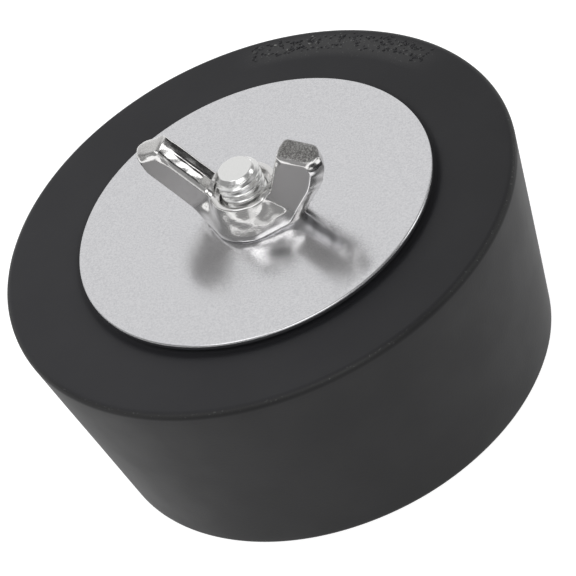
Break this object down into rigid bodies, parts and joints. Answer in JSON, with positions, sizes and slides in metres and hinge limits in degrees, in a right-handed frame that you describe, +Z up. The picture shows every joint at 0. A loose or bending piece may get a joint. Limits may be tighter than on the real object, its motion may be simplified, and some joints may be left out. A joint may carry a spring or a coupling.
{
  "type": "expansion pipe plug",
  "caption": "Tapered solid rubber expansion plug squeezed between round steel plates by a central carriage bolt and a wing nut, for stopping a pipe mouth.",
  "frame": {"origin": "centre of the rubber's narrow end, on the surface that the plug stands on", "axes": "+Z up the bolt towards the wing nut, +X along the wings at rest"},
  "size_m": [0.1088, 0.1088, 0.0667],
  "materials": {
    "moulded_rubber": "matte dark grey moulded rubber with a faint sheen on the side wall",
    "plate_steel": "satin stainless sheet with blanked edges",
    "bolt_steel": "bright stainless with rolled thread",
    "plated_nut": "bright plated, cold forged, with flat trimmed wing faces"
  },
  "bodies": {
    "stopper": {"rubber_body": "moulded_rubber", "lower_plate": "plate_steel", "carriage_bolt": "bolt_steel"},
    "upper_plate": {"upper_plate": "plate_steel"},
    "wing_nut": {"wing_nut": "plated_nut"}
  },
  "joints": [
    {"name": "plate_slide", "type": "slide", "parent": "stopper", "child": "upper_plate", "axis": [0, 0, 1], "range_m": [-0.00595, 0], "deforming": ["rubber_body"]},
    {"name": "nut_turn", "type": "hinge", "parent": "upper_plate", "child": "wing_nut", "pos_m": [0, 0, 0.0474], "axis": [0, 0, 1], "range_deg": [-1350, 0]}
  ],
  "couplings": [
    {"joint": "nut_turn", "follows": "plate_slide", "rad_per_m": 3957.9}
  ]
}
